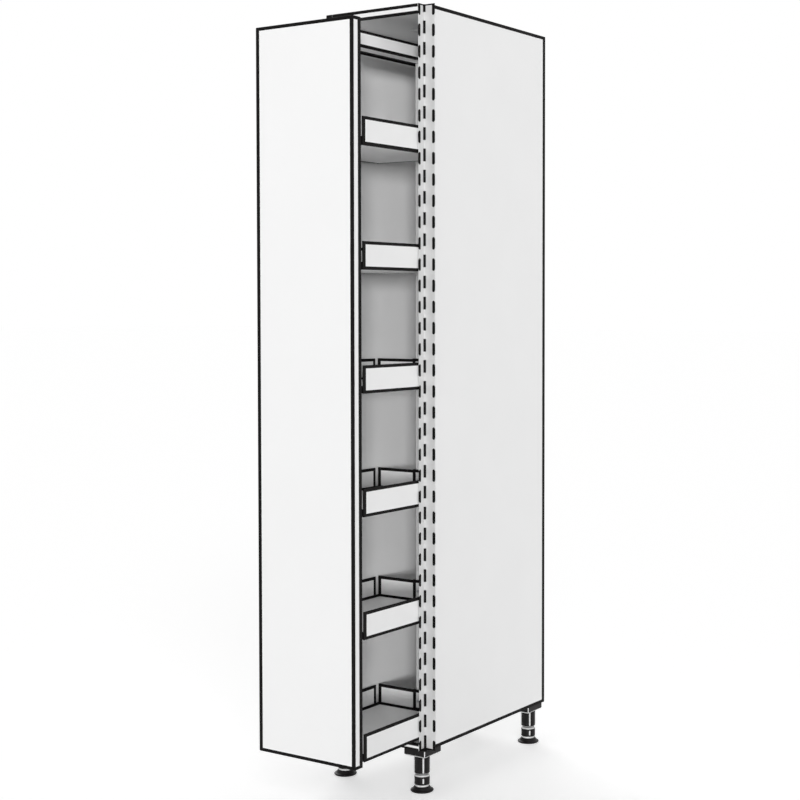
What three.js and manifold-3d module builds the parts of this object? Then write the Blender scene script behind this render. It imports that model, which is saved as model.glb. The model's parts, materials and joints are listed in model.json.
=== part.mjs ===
// Pull out larder unit: a narrow tall carcass on four levelling feet, with a tall front that carries a frame
// of six trays out of it on a bottom runner and a top guide.
// Millimetres, +Z up. The front faces -Y, and +X is to the right of someone who stands before it.
// The pieces are placed in the carcass's own frame: x = 0 at the middle of its width, y = 0 at its front
// edges and z = 0 at its underside. The pull-out is built as it stands when closed, then moved out.
import * as THREE from "three";
import { ConvexGeometry } from "three/addons/geometries/ConvexGeometry.js";
import { mergeVertices } from "three/addons/utils/BufferGeometryUtils.js";
import Module from "manifold-3d";

// Carcass
const CARCASS_WIDTH = 300;
const CARCASS_DEPTH = 560;
const CARCASS_HEIGHT = 1800;
const SIDE_BOARD = 19;
const TOP_BOARD = 19;
const BOTTOM_BOARD = 16;
const BACK_BOARD = 8;
const BACK_RECESS = 8; // the back panel stands this far in from the rear edges
const BOARD_ARRIS = 1; // the small chamfer along every edge of a board
const SEAT = 0.1; // hairline between two pieces that are fixed to each other
const CUT_PAST = 1; // a cutting tool runs this far past the face that it opens

// Grip profile: an L in plan, in the right front corner, in place of the side panel's front edge
const GRIP_DEPTH = 24;
const GRIP_WALL = 1.5;
const GRIP_PROUD = 13; // past the side panel's outer face

// Wall fixing angle, under the top panel against the back
const ANGLE_WIDTH = 40;
const ANGLE_LEG = 35;
const ANGLE_WALL = 3;
const ANGLE_HOLE = 7; // diameter of the hole to the wall
const ANGLE_INSET = 30; // from the left side panel

// Legs
const LEG_HEIGHT = 106; // floor to the underside of the carcass
const LEG_INSET_SIDE = 31; // leg's axis from the side's outer face
const LEG_INSET_FRONT = 29;
const LEG_INSET_REAR = 34;
const FLANGE_WIDTH = 64; // along x
const FLANGE_LENGTH = 72; // along y
const FLANGE_HEIGHT = 17;
const FLANGE_CORNER = 5;
const FLANGE_EDGE = 2; // small chamfer of the flange's rim
const FLANGE_LAP = 28; // from the leg's axis to the flange's outer edges
const SHAFT_DIAMETER = 38;
const SHAFT_CHAMFER = 1;
const RIB_WIDTH = 4;
const RIB_HEIGHT = 1;
const RIB_COUNT = 4;
const RIB_INSET = 2; // the ribs stop this far above the shaft's end
const THREAD_DIAMETER = 14;
const THREAD_CHAMFER = 1;
const THREAD_CLEARANCE = 0.3; // all round, in the shaft's bore
const THREAD_SHOWN = 4; // length of spindle between the sleeve and the shaft
const THREAD_ENGAGED = 32; // length of spindle inside the shaft
const BORE_SPARE = 5; // bore depth past the spindle's end
const SLEEVE_TOP = 41; // above the floor
const SLEEVE_BOTTOM = 16.5;
const SLEEVE_CHAMFER = 3;
const NECK_BOTTOM = 13.5;
const NECK_DIAMETER = 34;
const DISC_DIAMETER = 57;
const DISC_RIM = 4; // height of the disc's rim
const DISC_CHAMFER = 1.5;
const FLARE_WIDTH = 3; // step from the sleeve's radius out to the foot of the flare
const ROUND_SIDES = 32;
const SMALL_ROUND_SIDES = 20;

// Front
const FRONT_SIDE_GAP = 6; // carcass's outer face to the front's edge
const FRONT_BOTTOM = 23; // above the underside of the carcass
const FRONT_DROP = 72; // below the top of the carcass
const FRONT_THICKNESS = 30;
const FRONT_GAP = 2; // between the closed front and the carcass
const FRONT_ARRIS = 1.5;
const BUFFER_DIAMETER = 10;
const BUFFER_INSET = 60; // from the front's top and bottom edges

// Pull-out frame
const UPRIGHT_WIDTH = 22;
const UPRIGHT_DEPTH = 19;
const TUBE_WALL = 2;
const BRACKET_PLATE = 3;
const BRACKET_WIDTH = 96;
const BRACKET_HEIGHT = 56;
const BRACKET_CHEEK_WALL = 2;
const BRACKET_CHEEK_DEPTH = 14;
const LOWER_BRACKET_RISE = 137; // from the front's bottom edge to the bracket's middle
const MIDDLE_BRACKET_DROP = 718; // from the front's top edge to the bracket's middle
const UPPER_BRACKET_DROP = 148;
const BEAM_WIDTH = 40;
const BEAM_THICKNESS = 3;
const BAR_WIDTH = 55;
const BAR_HEIGHT = 39;
const BAR_DROP = 48; // from the top panel's underside to the bar's top edges
const BAR_REAR_GAP = 8.8; // clearance to the back panel when the front is shut
const BAR_WALL = 2.5;
const BAR_LIP = 12; // inward lips along the open top
const BAR_RIM = 4; // rim that hangs from the bar's left lower edge

// Trays
const TRAY_COUNT = 6;
const TRAY_LENGTH = 396;
const TRAY_SIDE_CLEARANCE = 2.5; // between a tray and the side panels
const TRAY_BOTTOM = 26; // lowest tray, above the underside of the carcass
const TRAY_HEADROOM = 248; // from the top tray's underside to the bar's
const TRAY_BASE = 13;
const TRAY_WALL = 3;
const TRAY_WALL_HEIGHT = 65;
const TRAY_CORNER_GAP = 17; // open corner between a side wall and the rear wall
const TRAY_FRONT_INSET = 12; // the front wall stops this far short of the side walls
const TRAY_ARRIS = 0.8;
const CLIP_WIDTH = 32; // hanger clip over an end wall
const CLIP_WALL = 1.5;
const CLIP_STANDOFF = 2.8; // from the wall's outer face to the upright
const TRAY_GROOVE_CLEARANCE = 4; // at each side of the runner, under the lowest tray

// Runners and guide
const RUNNER_SETBACK = 12; // from the carcass's front
const RUNNER_REAR_GAP = 32; // from the back panel
const RUNNER_WIDTH = 64;
const RUNNER_WALL = 1.2;
const RUNNER_FLANGE = 3; // thickness of the inner member's foot
const RUNNER_LIP = 7;
const SLIDE_GAP = 0.5; // running clearance between two members
const GUIDE_LENGTH = 350;
const GUIDE_SLIDE_WALL = 2;
const GUIDE_SLIDE_LIP = 12;
const GUIDE_SLIDE_DROP = 3; // the slide's lips lie this far under the bar's top edge
const GUIDE_HEAD = 12; // height of the fixed rail's head
const GUIDE_WEB = 5;
const GUIDE_PLATE_WIDTH = 60;
const GUIDE_PLATE = 3;

// Travel
const OPEN_AT_REST = 236; // how far the pull-out stands open
const MIDDLE_SHARE = 0.5; // the middle members travel half as far

// Places that follow from the sizes
const halfWidth = CARCASS_WIDTH / 2;
const innerHalf = halfWidth - SIDE_BOARD;
const topUnderside = CARCASS_HEIGHT - TOP_BOARD;
const backFront = CARCASS_DEPTH - BACK_RECESS - BACK_BOARD;
const gripLegFace = innerHalf + SEAT + GRIP_WALL;

const runnerLevels = (() => {
  const outerBase = BOTTOM_BOARD + SEAT;
  const middleBase = outerBase + RUNNER_WALL + SLIDE_GAP;
  const innerBase = middleBase + RUNNER_WALL + SLIDE_GAP;
  const middleTop = innerBase + RUNNER_FLANGE + SLIDE_GAP + RUNNER_WALL;
  const outerTop = middleTop + SLIDE_GAP + RUNNER_WALL;
  const innerTop = outerTop + SLIDE_GAP;
  return { outerBase, middleBase, innerBase, middleTop, outerTop, innerTop };
})();
const beamBottom = runnerLevels.innerTop + SEAT;
const beamTop = beamBottom + BEAM_THICKNESS;

const bracketFace = -FRONT_GAP + SEAT;
const uprightFace = bracketFace + BRACKET_PLATE + SEAT;
const trayFace = uprightFace + UPRIGHT_DEPTH + SEAT + CLIP_STANDOFF;
const trayRear = trayFace + TRAY_LENGTH;
const rearUprightFace = trayRear + CLIP_STANDOFF + SEAT;
const trayHalf = innerHalf - TRAY_SIDE_CLEARANCE;
const runnerLength = backFront - RUNNER_REAR_GAP - RUNNER_SETBACK;
const guideFront = backFront - GUIDE_LENGTH - SEAT * 2;
const barLength = backFront - BAR_REAR_GAP - uprightFace;
const barBottom = topUnderside - BAR_DROP - BAR_HEIGHT;
const trayPitch = (barBottom - TRAY_HEADROOM - TRAY_BOTTOM) / (TRAY_COUNT - 1);
const floorLevel = -LEG_HEIGHT;
const shaftEnd = floorLevel + SLEEVE_TOP + THREAD_SHOWN;
const spindleEnd = shaftEnd + THREAD_ENGAGED;

const wasm = await Module();
wasm.setup();

// Finishes
const finish = (name, color, roughness, metalness) =>
  new THREE.MeshStandardMaterial({ name, color, roughness, metalness });
const WHITE_BOARD = finish("white_board", 0xf4f4f2, 0.45, 0);
const WHITE_LACQUER = finish("white_lacquer", 0xf7f7f6, 0.3, 0);
const WHITE_METAL = finish("white_powder_coat", 0xf2f2f0, 0.5, 0.1);
const GREY_ALUMINIUM = finish("grey_aluminium", 0xc8c8c8, 0.4, 0.6);
const ZINC_STEEL = finish("zinc_steel", 0xb4b7ba, 0.35, 0.9);
const BLACK_PLASTIC = finish("black_plastic", 0x231f20, 0.5, 0);
const CLEAR_RUBBER = finish("soft_rubber", 0xd8d8d4, 0.7, 0);

// A named sub-part at its place inside its group.
function piece(group, name, material, geometry, position = [0, 0, 0]) {
  const mesh = new THREE.Mesh(geometry, material);
  mesh.name = name;
  mesh.position.set(...position);
  group.add(mesh);
  return mesh;
}

// A plain block between two corners.
function block([x0, x1], [y0, y1], [z0, z1]) {
  const box = new THREE.BoxGeometry(x1 - x0, y1 - y0, z1 - z0);
  return box.translate((x0 + x1) / 2, (y0 + y1) / 2, (z0 + z1) / 2);
}

// A board between two corners, with every edge eased by a small chamfer.
function easedBoard(xs, ys, zs, arris) {
  const points = [];
  for (const i of [0, 1]) {
    for (const j of [0, 1]) {
      for (const k of [0, 1]) {
        const [inX, inY, inZ] = [i, j, k].map((end) => (end ? -arris : arris));
        points.push(new THREE.Vector3(xs[i], ys[j] + inY, zs[k] + inZ));
        points.push(new THREE.Vector3(xs[i] + inX, ys[j], zs[k] + inZ));
        points.push(new THREE.Vector3(xs[i] + inX, ys[j] + inY, zs[k]));
      }
    }
  }
  return new ConvexGeometry(points);
}

const toX = new THREE.Vector3(1, 0, 0);
const toY = new THREE.Vector3(0, 1, 0);
const toZ = new THREE.Vector3(0, 0, 1);

// A section drawn in x and z, run along +y from y = 0.
function alongY(section, length) {
  const run = new THREE.ExtrudeGeometry(section, { depth: length, bevelEnabled: false });
  const turn = new THREE.Matrix4().makeBasis(toX, toZ, toY.clone().negate());
  return run.applyMatrix4(turn).translate(0, length, 0);
}

// A section drawn in y and z, run along +x and centred on x = 0.
function alongX(section, length) {
  const run = new THREE.ExtrudeGeometry(section, { depth: length, bevelEnabled: false });
  return run.applyMatrix4(new THREE.Matrix4().makeBasis(toY, toZ, toX)).translate(-length / 2, 0, 0);
}

// A section drawn in x and y, run up from z = 0.
function alongZ(section, length) {
  return new THREE.ExtrudeGeometry(section, { depth: length, bevelEnabled: false });
}

function outline(points) {
  return new THREE.Shape(points.map(([x, y]) => new THREE.Vector2(x, y)));
}

// A channel open at the top, with its lips turned inwards, centred on x = 0 and standing on z = 0.
function lippedChannel(width, height, wall, lip) {
  const w = width / 2;
  return outline([
    [-w, 0],
    [w, 0],
    [w, height],
    [w - wall - lip, height],
    [w - wall - lip, height - wall],
    [w - wall, height - wall],
    [w - wall, wall],
    [-w + wall, wall],
    [-w + wall, height - wall],
    [-w + wall + lip, height - wall],
    [-w + wall + lip, height],
    [-w, height],
  ]);
}

// A foot with a narrower web on it, as an upside-down T that stands on z = 0.
function footedWeb(footWidth, footHeight, webWidth, height) {
  const f = footWidth / 2;
  const w = webWidth / 2;
  return outline([
    [-f, 0],
    [f, 0],
    [f, footHeight],
    [w, footHeight],
    [w, height],
    [-w, height],
    [-w, footHeight],
    [-f, footHeight],
  ]);
}

// A profile of radii and heights, turned about z.
function turned(profile, sides) {
  const points = profile.map(([radius, height]) => new THREE.Vector2(radius, height));
  return new THREE.LatheGeometry(points, sides).rotateX(Math.PI / 2);
}

// Solids for joining and cutting.
function solid(geometry) {
  const bare = geometry.clone();
  bare.deleteAttribute("normal");
  bare.deleteAttribute("uv");
  const merged = mergeVertices(bare, 1e-4);
  const triVerts = merged.index.array;
  const vertProperties = merged.attributes.position.array;
  return new wasm.Manifold(new wasm.Mesh({ numProp: 3, vertProperties, triVerts }));
}

function geometryOf(shape) {
  const mesh = shape.getMesh();
  const geometry = new THREE.BufferGeometry();
  geometry.setAttribute("position", new THREE.BufferAttribute(mesh.vertProperties, 3));
  geometry.setIndex(new THREE.BufferAttribute(mesh.triVerts, 1));
  geometry.computeVertexNormals();
  return geometry;
}

function joined(geometries) {
  return geometryOf(geometries.map(solid).reduce((whole, part) => whole.add(part)));
}

function cut(geometry, tools) {
  return geometryOf(tools.map(solid).reduce((whole, tool) => whole.subtract(tool), solid(geometry)));
}

// The five boards, the grip profile and the wall fixing angle.
function carcass() {
  const group = new THREE.Group();
  const between = [-innerHalf + SEAT, innerHalf - SEAT];
  const full = [0, CARCASS_HEIGHT];
  const board = (name, xs, ys, zs) => piece(group, name, WHITE_BOARD, easedBoard(xs, ys, zs, BOARD_ARRIS));
  board("left_side_panel", [-halfWidth, -innerHalf], [0, CARCASS_DEPTH], full);
  board("right_side_panel", [innerHalf, halfWidth], [GRIP_DEPTH + SEAT, CARCASS_DEPTH], full);
  board("top_panel", between, [0, CARCASS_DEPTH], [topUnderside, CARCASS_HEIGHT]);
  board("bottom_panel", between, [0, CARCASS_DEPTH], [0, BOTTOM_BOARD]);
  const backHeights = [BOTTOM_BOARD + SEAT, topUnderside - SEAT];
  board("back_panel", between, [backFront, backFront + BACK_BOARD], backHeights);
  piece(group, "grip_profile", GREY_ALUMINIUM, gripProfile());
  const angleX = -innerHalf + ANGLE_INSET + ANGLE_WIDTH / 2;
  const anglePlace = [angleX, backFront - SEAT, topUnderside - SEAT];
  piece(group, "wall_fixing_angle", ZINC_STEEL, fixingAngle(), anglePlace);
  return group;
}

// One leg lines the recess beside the front's edge, and the other covers the side panel's front edge.
function gripProfile() {
  const legBack = gripLegFace - GRIP_WALL;
  const outer = halfWidth + GRIP_PROUD;
  const section = outline([
    [legBack, 0],
    [gripLegFace, 0],
    [gripLegFace, GRIP_DEPTH - GRIP_WALL],
    [outer, GRIP_DEPTH - GRIP_WALL],
    [outer, GRIP_DEPTH],
    [legBack, GRIP_DEPTH],
  ]);
  return alongZ(section, CARCASS_HEIGHT);
}

// Its inner corner is at the origin: one leg lies under the top panel, the other against the back.
function fixingAngle() {
  const section = outline([
    [0, 0],
    [-ANGLE_LEG, 0],
    [-ANGLE_LEG, -ANGLE_WALL],
    [-ANGLE_WALL, -ANGLE_WALL],
    [-ANGLE_WALL, -ANGLE_LEG],
    [0, -ANGLE_LEG],
  ]);
  const hole = new THREE.CylinderGeometry(ANGLE_HOLE / 2, ANGLE_HOLE / 2, ANGLE_LEG, SMALL_ROUND_SIDES);
  const middle = (ANGLE_LEG + ANGLE_WALL) / 2;
  return cut(alongX(section, ANGLE_WIDTH), [hole.translate(0, -ANGLE_WALL, -middle)]);
}

// A leg's fixed housing, hung from z = 0 with its axis at the origin. side and end, each -1 or 1, point to
// the carcass's corner, which the flange's short laps face.
function legHousing(side, end) {
  const reachX = FLANGE_WIDTH - FLANGE_LAP;
  const reachY = FLANGE_LENGTH - FLANGE_LAP;
  const xs = side > 0 ? [-reachX, FLANGE_LAP] : [-FLANGE_LAP, reachX];
  const ys = end > 0 ? [-reachY, FLANGE_LAP] : [-FLANGE_LAP, reachY];
  const flange = roundedPlate(xs, ys, FLANGE_CORNER, FLANGE_EDGE, FLANGE_HEIGHT);
  const radius = SHAFT_DIAMETER / 2;
  const shaft = turned(
    [
      [0, shaftEnd],
      [radius - SHAFT_CHAMFER, shaftEnd],
      [radius, shaftEnd + SHAFT_CHAMFER],
      [radius, -FLANGE_EDGE],
      [0, -FLANGE_EDGE],
    ],
    ROUND_SIDES,
  );
  const ribHeights = [shaftEnd + RIB_INSET, -FLANGE_HEIGHT / 2];
  const ribs = Array.from({ length: RIB_COUNT }, (_, i) => {
    const rib = block([0, radius + RIB_HEIGHT], [-RIB_WIDTH / 2, RIB_WIDTH / 2], ribHeights);
    return rib.rotateZ((Math.PI / RIB_COUNT) * (2 * i + 1));
  });
  const boreRadius = THREAD_DIAMETER / 2 + THREAD_CLEARANCE;
  const boreTop = spindleEnd + BORE_SPARE;
  const boreStart = shaftEnd - CUT_PAST;
  const bore = new THREE.CylinderGeometry(boreRadius, boreRadius, boreTop - boreStart, ROUND_SIDES);
  bore.rotateX(Math.PI / 2).translate(0, 0, (boreTop + boreStart) / 2);
  return cut(joined([flange, shaft, ...ribs]), [bore]);
}

// A plate with rounded corners and a chamfered lower rim; its top is at z = 0.
function roundedPlate([x0, x1], [y0, y1], corner, chamfer, height) {
  const c = corner - chamfer;
  const [l, r, f, b] = [x0 + chamfer, x1 - chamfer, y0 + chamfer, y1 - chamfer];
  const shape = new THREE.Shape();
  shape.moveTo(l + c, f);
  shape.lineTo(r - c, f);
  shape.absarc(r - c, f + c, c, -Math.PI / 2, 0);
  shape.lineTo(r, b - c);
  shape.absarc(r - c, b - c, c, 0, Math.PI / 2);
  shape.lineTo(l + c, b);
  shape.absarc(l + c, b - c, c, Math.PI / 2, Math.PI);
  shape.lineTo(l, f + c);
  shape.absarc(l + c, f + c, c, Math.PI, Math.PI * 1.5);
  const plate = new THREE.ExtrudeGeometry(shape, {
    depth: height - 2 * chamfer,
    bevelThickness: chamfer,
    bevelSize: chamfer,
    bevelSegments: 1,
    curveSegments: 3,
  });
  return plate.translate(0, 0, chamfer - height);
}

// A levelling foot, turned about its axis, standing on z = 0: disc, flare, neck, sleeve and spindle.
function levellingFoot() {
  const disc = DISC_DIAMETER / 2;
  const sleeve = SHAFT_DIAMETER / 2;
  const neck = NECK_DIAMETER / 2;
  const thread = THREAD_DIAMETER / 2;
  const top = spindleEnd - floorLevel;
  const profile = [
    [0, 0],
    [disc - DISC_CHAMFER, 0],
    [disc, DISC_CHAMFER],
    [disc, DISC_RIM],
    [sleeve + FLARE_WIDTH, (DISC_RIM + NECK_BOTTOM) / 2],
    [sleeve, NECK_BOTTOM],
    [neck, NECK_BOTTOM],
    [neck, SLEEVE_BOTTOM],
    [sleeve, SLEEVE_BOTTOM],
    [sleeve, SLEEVE_TOP - SLEEVE_CHAMFER],
    [sleeve - SLEEVE_CHAMFER, SLEEVE_TOP],
    [thread, SLEEVE_TOP],
    [thread, top - THREAD_CHAMFER],
    [thread - THREAD_CHAMFER, top],
    [0, top],
  ];
  return turned(profile, ROUND_SIDES);
}

// Four legs, one at each corner.
function legs() {
  const group = new THREE.Group();
  const axisX = halfWidth - LEG_INSET_SIDE;
  const rows = { front: LEG_INSET_FRONT, rear: CARCASS_DEPTH - LEG_INSET_REAR };
  for (const [row, y] of Object.entries(rows)) {
    for (const [hand, side] of Object.entries({ left: -1, right: 1 })) {
      const leg = new THREE.Group();
      leg.position.set(side * axisX, y, 0);
      const housing = legHousing(side, row === "front" ? -1 : 1);
      piece(leg, `leg_${row}_${hand}_housing`, BLACK_PLASTIC, housing, [0, 0, -SEAT]);
      piece(leg, `leg_${row}_${hand}_foot`, BLACK_PLASTIC, levellingFoot(), [0, 0, floorLevel]);
      group.add(leg);
    }
  }
  return group;
}

// The front, its buffers and the brackets behind it.
function front() {
  const group = new THREE.Group();
  const half = halfWidth - FRONT_SIDE_GAP;
  const top = CARCASS_HEIGHT - FRONT_DROP;
  const depths = [-FRONT_GAP - FRONT_THICKNESS, -FRONT_GAP];
  const panel = easedBoard([-half, half], depths, [FRONT_BOTTOM, top], FRONT_ARRIS);
  piece(group, "front_panel", WHITE_LACQUER, panel);
  const bufferX = -(half + innerHalf) / 2;
  const bufferHeights = { lower: FRONT_BOTTOM + BUFFER_INSET, upper: top - BUFFER_INSET };
  for (const [place, height] of Object.entries(bufferHeights)) {
    const thickness = FRONT_GAP - 2 * SEAT;
    const radius = BUFFER_DIAMETER / 2;
    const buffer = new THREE.CylinderGeometry(radius - thickness / 2, radius, thickness, SMALL_ROUND_SIDES);
    const seat = [bufferX, -FRONT_GAP / 2, height];
    piece(group, `front_buffer_${place}`, CLEAR_RUBBER, buffer, seat);
  }
  const bracketHeights = {
    lower: FRONT_BOTTOM + LOWER_BRACKET_RISE,
    middle: top - MIDDLE_BRACKET_DROP,
    upper: top - UPPER_BRACKET_DROP,
  };
  for (const [place, height] of Object.entries(bracketHeights)) {
    const seat = [0, bracketFace, height - BRACKET_HEIGHT / 2];
    piece(group, `front_bracket_${place}`, ZINC_STEEL, frontBracket(), seat);
  }
  return group;
}

// A plate on the back of the front, with two cheeks that hold the upright between them.
function frontBracket() {
  const plate = BRACKET_WIDTH / 2;
  const inner = UPRIGHT_WIDTH / 2 + SEAT;
  const outer = inner + BRACKET_CHEEK_WALL;
  const end = BRACKET_PLATE + BRACKET_CHEEK_DEPTH;
  const section = outline([
    [-plate, 0],
    [plate, 0],
    [plate, BRACKET_PLATE],
    [outer, BRACKET_PLATE],
    [outer, end],
    [inner, end],
    [inner, BRACKET_PLATE],
    [-inner, BRACKET_PLATE],
    [-inner, end],
    [-outer, end],
    [-outer, BRACKET_PLATE],
    [-plate, BRACKET_PLATE],
  ]);
  return alongZ(section, BRACKET_HEIGHT);
}

// Two uprights, the beam under them and the bar over them.
function frame() {
  const group = new THREE.Group();
  const height = barBottom - SEAT - (beamTop + SEAT);
  const foot = beamTop + SEAT;
  piece(group, "front_upright", WHITE_METAL, upright(height), [0, uprightFace, foot]);
  piece(group, "rear_upright", WHITE_METAL, upright(height), [0, rearUprightFace, foot]);
  const beamLength = rearUprightFace + UPRIGHT_DEPTH - uprightFace;
  const beam = new THREE.BoxGeometry(BEAM_WIDTH, beamLength, BEAM_THICKNESS);
  const beamPlace = [0, uprightFace + beamLength / 2, beamBottom + BEAM_THICKNESS / 2];
  piece(group, "bottom_beam", WHITE_METAL, beam, beamPlace);
  piece(group, "top_bar", WHITE_METAL, topBar(), [0, uprightFace, barBottom]);
  return group;
}

// A rectangular tube, its front face at y = 0 and its foot at z = 0.
function upright(height) {
  const w = UPRIGHT_WIDTH / 2;
  const section = outline([
    [-w, 0],
    [w, 0],
    [w, UPRIGHT_DEPTH],
    [-w, UPRIGHT_DEPTH],
  ]);
  const inner = w - TUBE_WALL;
  const hollow = outline([
    [-inner, TUBE_WALL],
    [-inner, UPRIGHT_DEPTH - TUBE_WALL],
    [inner, UPRIGHT_DEPTH - TUBE_WALL],
    [inner, TUBE_WALL],
  ]);
  section.holes.push(hollow);
  return alongZ(section, height);
}

// A lipped channel, open at the top, with a rim that hangs from its left lower edge.
function topBar() {
  const w = BAR_WIDTH / 2;
  const inner = w - BAR_WALL;
  const lip = inner - BAR_LIP;
  const lipUnderside = BAR_HEIGHT - BAR_WALL;
  const section = outline([
    [-w, -BAR_RIM],
    [-inner, -BAR_RIM],
    [-inner, 0],
    [w, 0],
    [w, BAR_HEIGHT],
    [lip, BAR_HEIGHT],
    [lip, lipUnderside],
    [inner, lipUnderside],
    [inner, BAR_WALL],
    [-inner, BAR_WALL],
    [-inner, lipUnderside],
    [-lip, lipUnderside],
    [-lip, BAR_HEIGHT],
    [-w, BAR_HEIGHT],
  ]);
  return alongY(section, barLength);
}

// Six trays, from the bottom up. Each is a base board with four walls, open at the corners.
function trays() {
  const group = new THREE.Group();
  for (let i = 0; i < TRAY_COUNT; i += 1) {
    const tray = new THREE.Group();
    tray.position.set(0, 0, TRAY_BOTTOM + i * trayPitch);
    const name = `tray_${i + 1}`;
    piece(tray, `${name}_base`, WHITE_BOARD, i === 0 ? groovedBase() : plainBase());
    for (const [hand, side] of Object.entries({ left: -1, right: 1 })) {
      const xs = [side * trayHalf, side * (trayHalf - TRAY_WALL)].sort((a, b) => a - b);
      const ys = [trayFace, trayRear - TRAY_CORNER_GAP];
      piece(tray, `${name}_${hand}_wall`, WHITE_METAL, block(xs, ys, [0, TRAY_WALL_HEIGHT]));
    }
    const frontHalf = trayHalf - TRAY_WALL - TRAY_FRONT_INSET;
    const frontWall = i === 0 ? notched(endWall(frontHalf, -1)) : endWall(frontHalf, -1);
    const rearWall = i === 0 ? notched(endWall(trayHalf, 1)) : endWall(trayHalf, 1);
    piece(tray, `${name}_front_wall`, WHITE_METAL, frontWall, [0, trayFace, 0]);
    piece(tray, `${name}_rear_wall`, WHITE_METAL, rearWall, [0, trayRear, 0]);
    group.add(tray);
  }
  return group;
}

const baseHalf = trayHalf - TRAY_WALL - SEAT;
const baseDepths = [trayFace + TRAY_WALL + SEAT, trayRear - TRAY_WALL - SEAT];

function plainBase() {
  return easedBoard([-baseHalf, baseHalf], baseDepths, [0, TRAY_BASE], TRAY_ARRIS);
}

// The lowest tray lies over the runner and the beam, so its underside has a groove for them.
const grooveHalf = RUNNER_WIDTH / 2 + TRAY_GROOVE_CLEARANCE;
const grooveTop = beamTop + SEAT - TRAY_BOTTOM;

function groovedBase() {
  const section = outline([
    [-baseHalf, 0],
    [-grooveHalf, 0],
    [-grooveHalf, grooveTop],
    [grooveHalf, grooveTop],
    [grooveHalf, 0],
    [baseHalf, 0],
    [baseHalf, TRAY_BASE],
    [-baseHalf, TRAY_BASE],
  ]);
  const [y0, y1] = baseDepths;
  return alongY(section, y1 - y0).translate(0, y0, 0);
}

function notched(wall) {
  const reach = TRAY_WALL + CLIP_WALL + CLIP_STANDOFF;
  return cut(wall, [block([-grooveHalf, grooveHalf], [-reach, reach], [-CUT_PAST, grooveTop])]);
}

// A wall with its hanger clip: the clip folds over the wall's top and stands off to the upright.
// The wall's outer face is at y = 0, and outward is -1 for the front wall and 1 for the rear one.
function endWall(half, outward) {
  const wallDepths = [0, -outward * TRAY_WALL].sort((a, b) => a - b);
  const wall = block([-half, half], wallDepths, [0, TRAY_WALL_HEIGHT]);
  const innerFace = -outward * (TRAY_WALL + CLIP_WALL);
  const outerFace = outward * CLIP_STANDOFF;
  const clipDepths = [innerFace, outerFace].sort((a, b) => a - b);
  const clipX = [-CLIP_WIDTH / 2, CLIP_WIDTH / 2];
  const strapHeights = [TRAY_WALL_HEIGHT - CLIP_WALL, TRAY_WALL_HEIGHT + CLIP_WALL];
  const strap = block(clipX, clipDepths, strapHeights);
  const overlapY = -outward * (TRAY_WALL / 2);
  const innerDepths = [innerFace, overlapY].sort((a, b) => a - b);
  const innerLeg = block(clipX, innerDepths, [TRAY_BASE + SEAT, TRAY_WALL_HEIGHT]);
  const outerDepths = [outerFace, overlapY].sort((a, b) => a - b);
  const outerLeg = block(clipX, outerDepths, [0, TRAY_WALL_HEIGHT]);
  return joined([wall, strap, innerLeg, outerLeg]);
}

// The sections of the bottom runner: each member slides in the one outside it.
const outerInside = RUNNER_WIDTH - 2 * RUNNER_WALL;
const middleWidth = outerInside - 2 * SLIDE_GAP;
const innerWidth = middleWidth - 2 * (RUNNER_WALL + SLIDE_GAP);
const middleLip = 2 * RUNNER_LIP;
const webWidth = middleWidth - 2 * (RUNNER_WALL + middleLip + SLIDE_GAP);

function outerMember() {
  const { outerBase, outerTop } = runnerLevels;
  return alongY(lippedChannel(RUNNER_WIDTH, outerTop - outerBase, RUNNER_WALL, RUNNER_LIP), runnerLength);
}

function middleMember() {
  const { middleBase, middleTop } = runnerLevels;
  return alongY(lippedChannel(middleWidth, middleTop - middleBase, RUNNER_WALL, middleLip), runnerLength);
}

function innerMember() {
  const { innerBase, innerTop } = runnerLevels;
  return alongY(footedWeb(innerWidth, RUNNER_FLANGE, webWidth, innerTop - innerBase), runnerLength);
}

// The slide inside the top bar, and the rail inside the slide.
const barInside = BAR_WIDTH - 2 * BAR_WALL;
const slideWidth = barInside - 2 * SLIDE_GAP;
const slideBase = barBottom + BAR_WALL + SLIDE_GAP;
const slideTop = barBottom + BAR_HEIGHT - GUIDE_SLIDE_DROP;
const slideInside = slideWidth - 2 * GUIDE_SLIDE_WALL;

function guideSlide() {
  const section = lippedChannel(slideWidth, slideTop - slideBase, GUIDE_SLIDE_WALL, GUIDE_SLIDE_LIP);
  return alongY(section, GUIDE_LENGTH);
}

// Hung from the top panel: a plate, a web and a head that runs between the slide's walls. Its top is z = 0.
function guideRail() {
  const plate = GUIDE_PLATE_WIDTH / 2;
  const web = GUIDE_WEB / 2;
  const head = slideInside / 2 - SLIDE_GAP;
  const headTop = slideTop - GUIDE_SLIDE_WALL - SLIDE_GAP - (topUnderside - SEAT);
  const section = outline([
    [-plate, 0],
    [-plate, -GUIDE_PLATE],
    [-web, -GUIDE_PLATE],
    [-web, headTop],
    [-head, headTop],
    [-head, headTop - GUIDE_HEAD],
    [head, headTop - GUIDE_HEAD],
    [head, headTop],
    [web, headTop],
    [web, -GUIDE_PLATE],
    [plate, -GUIDE_PLATE],
    [plate, 0],
  ]);
  return alongY(section, GUIDE_LENGTH);
}

// The members that stay with the carcass.
function fixedMembers() {
  const group = new THREE.Group();
  const outerPlace = [0, RUNNER_SETBACK, runnerLevels.outerBase];
  piece(group, "bottom_runner_outer", ZINC_STEEL, outerMember(), outerPlace);
  piece(group, "top_guide_rail", GREY_ALUMINIUM, guideRail(), [0, guideFront, topUnderside - SEAT]);
  return group;
}

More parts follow.
